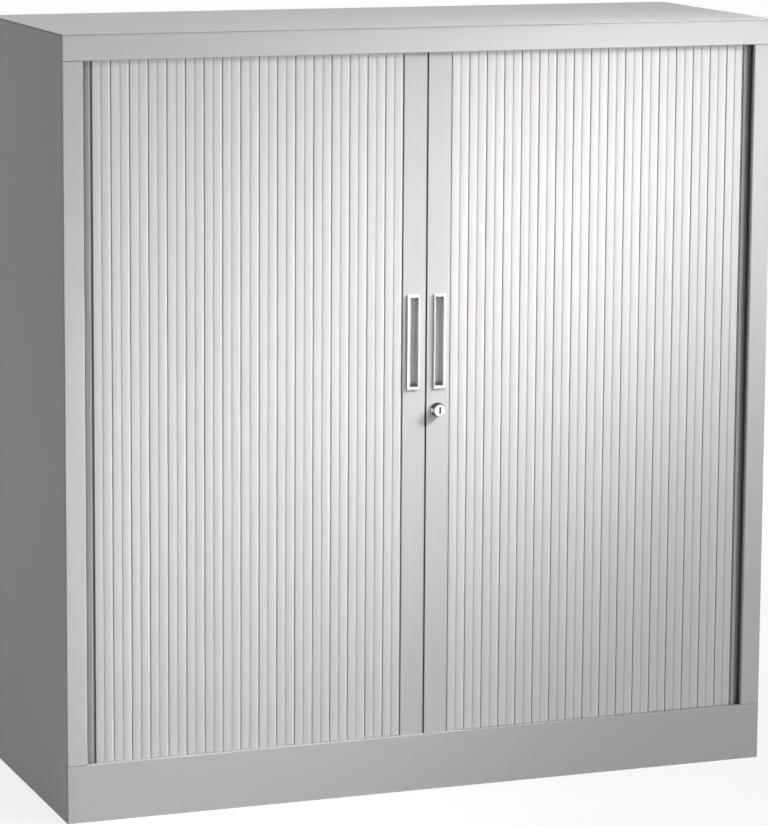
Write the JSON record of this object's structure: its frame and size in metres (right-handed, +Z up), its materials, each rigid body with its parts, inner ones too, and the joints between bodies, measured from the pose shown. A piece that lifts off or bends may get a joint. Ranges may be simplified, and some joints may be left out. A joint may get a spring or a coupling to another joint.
{
  "type": "roll front storage cabinet",
  "caption": "Free-standing sheet steel cabinet with side-opening tambour doors that roll round its front corners, recessed handles, a cylinder lock, shelves and a plinth with levelling feet.",
  "frame": {"origin": "on the floor under the middle of the carcass", "axes": "+Z up, +X to the right as seen from the front, the doors face -Y"},
  "size_m": [1.2, 0.4368, 1.238],
  "materials": {
    "body_paint": "fine satin powder coat, silver grey",
    "rail_paint": "fine satin powder coat, silver grey",
    "inner_paint": "satin powder coat, silver grey",
    "slat": "satin extruded plastic, silver grey",
    "handle": "glossy moulding, light silver",
    "lock_chrome": "polished chrome plate",
    "zinc": "bright zinc plate",
    "track_plastic": "dark grey moulded plastic",
    "pad_plastic": "black moulded plastic",
    "rubber": "black rubber"
  },
  "bodies": {
    "carcass": {"back_panel": "body_paint", "back_screws": "zinc", "base_panel": "body_paint", "bottom_track": "track_plastic", "ceiling_panel": "inner_paint", "door_buffers": "rubber", "floor_panel": "inner_paint", "foot_brackets": "zinc", "left_liner": "inner_paint", "left_side_panel": "body_paint", "lower_shelf": "inner_paint", "plinth_panel": "body_paint", "right_liner": "inner_paint", "right_side_panel": "body_paint", "roof_panel": "body_paint", "shelf_clips": "zinc", "top_panel": "body_paint", "top_rail": "body_paint", "top_track": "track_plastic", "upper_shelf": "inner_paint"},
    "left_door": {"left_lead_rail": "rail_paint", "left_rail_shoes": "track_plastic", "left_handle": "handle"},
    "left_slats_04_to_13": {"left_slats_04_to_13": "slat"},
    "left_slat_03": {"left_slat_03": "slat"},
    "left_slat_02": {"left_slat_02": "slat"},
    "left_slat_01": {"left_slat_01": "slat"},
    "left_slat_14": {"left_slat_14": "slat"},
    "left_slat_15": {"left_slat_15": "slat"},
    "left_slat_16": {"left_slat_16": "slat", "left_slat_17": "slat"},
    "left_slat_18": {"left_slat_18": "slat"},
    "left_slat_19": {"left_slat_19": "slat"},
    "right_door": {"right_lead_rail": "rail_paint", "right_rail_shoes": "track_plastic", "right_handle": "handle", "lock_housing": "lock_chrome", "lock_nut": "zinc"},
    "right_slats_04_to_13": {"right_slats_04_to_13": "slat"},
    "right_slat_03": {"right_slat_03": "slat"},
    "right_slat_02": {"right_slat_02": "slat"},
    "right_slat_01": {"right_slat_01": "slat"},
    "right_slat_14": {"right_slat_14": "slat"},
    "right_slat_15": {"right_slat_15": "slat"},
    "right_slat_16": {"right_slat_16": "slat", "right_slat_17": "slat"},
    "right_slat_18": {"right_slat_18": "slat"},
    "right_slat_19": {"right_slat_19": "slat"},
    "lock_barrel": {"lock_plug": "lock_chrome", "lock_cam": "zinc", "cam_screw": "zinc"},
    "front_left_foot": {"front_left_foot_pad": "pad_plastic"},
    "front_left_stem": {"front_left_foot_stem": "zinc"},
    "front_right_foot": {"front_right_foot_pad": "pad_plastic"},
    "front_right_stem": {"front_right_foot_stem": "zinc"},
    "rear_left_foot": {"rear_left_foot_pad": "pad_plastic"},
    "rear_left_stem": {"rear_left_foot_stem": "zinc"},
    "rear_right_foot": {"rear_right_foot_pad": "pad_plastic"},
    "rear_right_stem": {"rear_right_foot_stem": "zinc"}
  },
  "joints": [
    {"name": "left_door_slide", "type": "slide", "parent": "carcass", "child": "left_door", "axis": [-1, 0, 0], "range_m": [0, 0.487], "deforming": ["left_slat_01", "left_slat_02", "left_slat_03", "left_slats_04_to_13", "left_slat_14", "left_slat_15", "left_slat_16", "left_slat_17", "left_slat_18", "left_slat_19"]},
    {"name": "left_curtain_swing", "type": "hinge", "parent": "left_door", "child": "left_slats_04_to_13", "pos_m": [-0.08772, -0.18972, 0.64475], "axis": [0, 0, 1], "range_deg": [-90, 0]},
    {"name": "left_slat_03_bend", "type": "hinge", "parent": "left_slats_04_to_13", "child": "left_slat_03", "pos_m": [-0.131, -0.2, 0.64475], "axis": [0, 0, 1], "range_deg": [0, 9.97]},
    {"name": "left_slat_02_bend", "type": "hinge", "parent": "left_slat_03", "child": "left_slat_02", "pos_m": [-0.101, -0.2, 0.64475], "axis": [0, 0, 1], "range_deg": [0, 37.3]},
    {"name": "left_slat_01_bend", "type": "hinge", "parent": "left_slat_02", "child": "left_slat_01", "pos_m": [-0.071, -0.2, 0.64475], "axis": [0, 0, 1], "range_deg": [0, 35.74]},
    {"name": "left_slat_14_bend", "type": "hinge", "parent": "left_slats_04_to_13", "child": "left_slat_14", "pos_m": [-0.431, -0.2, 0.64475], "axis": [0, 0, 1], "range_deg": [-17.69, 0]},
    {"name": "left_slat_15_bend", "type": "hinge", "parent": "left_slat_14", "child": "left_slat_15", "pos_m": [-0.461, -0.2, 0.64475], "axis": [0, 0, 1], "range_deg": [-38.9, 0]},
    {"name": "left_slat_16_bend", "type": "hinge", "parent": "left_slat_15", "child": "left_slat_16", "pos_m": [-0.491, -0.2, 0.64475], "axis": [0, 0, 1], "range_deg": [-30.89, 0]},
    {"name": "left_slat_18_bend", "type": "hinge", "parent": "left_slat_16", "child": "left_slat_18", "pos_m": [-0.55097, -0.19864, 0.64475], "axis": [0, 0, 1], "range_deg": [0, 31.05]},
    {"name": "left_slat_19_bend", "type": "hinge", "parent": "left_slat_18", "child": "left_slat_19", "pos_m": [-0.57596, -0.18205, 0.64475], "axis": [0, 0, 1], "range_deg": [0, 38.89]},
    {"name": "right_door_slide", "type": "slide", "parent": "carcass", "child": "right_door", "axis": [1, 0, 0], "range_m": [0, 0.487], "deforming": ["right_slat_01", "right_slat_02", "right_slat_03", "right_slats_04_to_13", "right_slat_14", "right_slat_15", "right_slat_16", "right_slat_17", "right_slat_18", "right_slat_19"]},
    {"name": "right_curtain_swing", "type": "hinge", "parent": "right_door", "child": "right_slats_04_to_13", "pos_m": [0.08772, -0.18972, 0.64475], "axis": [0, 0, 1], "range_deg": [0, 90]},
    {"name": "right_slat_03_bend", "type": "hinge", "parent": "right_slats_04_to_13", "child": "right_slat_03", "pos_m": [0.131, -0.2, 0.64475], "axis": [0, 0, 1], "range_deg": [-9.97, 0]},
    {"name": "right_slat_02_bend", "type": "hinge", "parent": "right_slat_03", "child": "right_slat_02", "pos_m": [0.101, -0.2, 0.64475], "axis": [0, 0, 1], "range_deg": [-37.3, 0]},
    {"name": "right_slat_01_bend", "type": "hinge", "parent": "right_slat_02", "child": "right_slat_01", "pos_m": [0.071, -0.2, 0.64475], "axis": [0, 0, 1], "range_deg": [-35.74, 0]},
    {"name": "right_slat_14_bend", "type": "hinge", "parent": "right_slats_04_to_13", "child": "right_slat_14", "pos_m": [0.431, -0.2, 0.64475], "axis": [0, 0, 1], "range_deg": [0, 17.69]},
    {"name": "right_slat_15_bend", "type": "hinge", "parent": "right_slat_14", "child": "right_slat_15", "pos_m": [0.461, -0.2, 0.64475], "axis": [0, 0, 1], "range_deg": [0, 38.9]},
    {"name": "right_slat_16_bend", "type": "hinge", "parent": "right_slat_15", "child": "right_slat_16", "pos_m": [0.491, -0.2, 0.64475], "axis": [0, 0, 1], "range_deg": [0, 30.89]},
    {"name": "right_slat_18_bend", "type": "hinge", "parent": "right_slat_16", "child": "right_slat_18", "pos_m": [0.55097, -0.19864, 0.64475], "axis": [0, 0, 1], "range_deg": [-31.05, 0]},
    {"name": "right_slat_19_bend", "type": "hinge", "parent": "right_slat_18", "child": "right_slat_19", "pos_m": [0.57596, -0.18205, 0.64475], "axis": [0, 0, 1], "range_deg": [-38.89, 0]},
    {"name": "lock_turn", "type": "hinge", "parent": "right_door", "child": "lock_barrel", "pos_m": [0.0202, -0.207, 0.624], "axis": [0, 1, 0], "range_deg": [0, 90]},
    {"name": "front_left_foot_level", "type": "slide", "parent": "carcass", "child": "front_left_foot", "axis": [0, 0, -1], "range_m": [0, 0.012]},
    {"name": "front_left_stem_turn", "type": "hinge", "parent": "front_left_foot", "child": "front_left_stem", "pos_m": [-0.538, -0.153, 0.005], "axis": [0, 0, 1], "range_deg": [-2880.01, 0]},
    {"name": "front_right_foot_level", "type": "slide", "parent": "carcass", "child": "front_right_foot", "axis": [0, 0, -1], "range_m": [0, 0.012]},
    {"name": "front_right_stem_turn", "type": "hinge", "parent": "front_right_foot", "child": "front_right_stem", "pos_m": [0.538, -0.153, 0.005], "axis": [0, 0, 1], "range_deg": [-2880.01, 0]},
    {"name": "rear_left_foot_level", "type": "slide", "parent": "carcass", "child": "rear_left_foot", "axis": [0, 0, -1], "range_m": [0, 0.012]},
    {"name": "rear_left_stem_turn", "type": "hinge", "parent": "rear_left_foot", "child": "rear_left_stem", "pos_m": [-0.538, 0.153, 0.005], "axis": [0, 0, 1], "range_deg": [-2880.01, 0]},
    {"name": "rear_right_foot_level", "type": "slide", "parent": "carcass", "child": "rear_right_foot", "axis": [0, 0, -1], "range_m": [0, 0.012]},
    {"name": "rear_right_stem_turn", "type": "hinge", "parent": "rear_right_foot", "child": "rear_right_stem", "pos_m": [0.538, 0.153, 0.005], "axis": [0, 0, 1], "range_deg": [-2880.01, 0]}
  ],
  "couplings": [
    {"joint": "left_curtain_swing", "follows": "left_door_slide", "rad_per_m": -3.2255},
    {"joint": "left_slat_03_bend", "follows": "left_door_slide", "rad_per_m": 0.35705},
    {"joint": "left_slat_02_bend", "follows": "left_door_slide", "rad_per_m": 1.3367},
    {"joint": "left_slat_01_bend", "follows": "left_door_slide", "rad_per_m": 1.2806},
    {"joint": "left_slat_14_bend", "follows": "left_door_slide", "rad_per_m": -0.63374},
    {"joint": "left_slat_15_bend", "follows": "left_door_slide", "rad_per_m": -1.394},
    {"joint": "left_slat_16_bend", "follows": "left_door_slide", "rad_per_m": -1.1069},
    {"joint": "left_slat_18_bend", "follows": "left_door_slide", "rad_per_m": 1.1126},
    {"joint": "left_slat_19_bend", "follows": "left_door_slide", "rad_per_m": 1.3937},
    {"joint": "right_curtain_swing", "follows": "right_door_slide", "rad_per_m": 3.2255},
    {"joint": "right_slat_03_bend", "follows": "right_door_slide", "rad_per_m": -0.35705},
    {"joint": "right_slat_02_bend", "follows": "right_door_slide", "rad_per_m": -1.3367},
    {"joint": "right_slat_01_bend", "follows": "right_door_slide", "rad_per_m": -1.2806},
    {"joint": "right_slat_14_bend", "follows": "right_door_slide", "rad_per_m": 0.63374},
    {"joint": "right_slat_15_bend", "follows": "right_door_slide", "rad_per_m": 1.394},
    {"joint": "right_slat_16_bend", "follows": "right_door_slide", "rad_per_m": 1.1069},
    {"joint": "right_slat_18_bend", "follows": "right_door_slide", "rad_per_m": -1.1126},
    {"joint": "right_slat_19_bend", "follows": "right_door_slide", "rad_per_m": -1.3937},
    {"joint": "front_left_stem_turn", "follows": "front_left_foot_level", "rad_per_m": -4188.8},
    {"joint": "front_right_stem_turn", "follows": "front_right_foot_level", "rad_per_m": -4188.8},
    {"joint": "rear_left_stem_turn", "follows": "rear_left_foot_level", "rad_per_m": -4188.8},
    {"joint": "rear_right_stem_turn", "follows": "rear_right_foot_level", "rad_per_m": -4188.8}
  ]
}
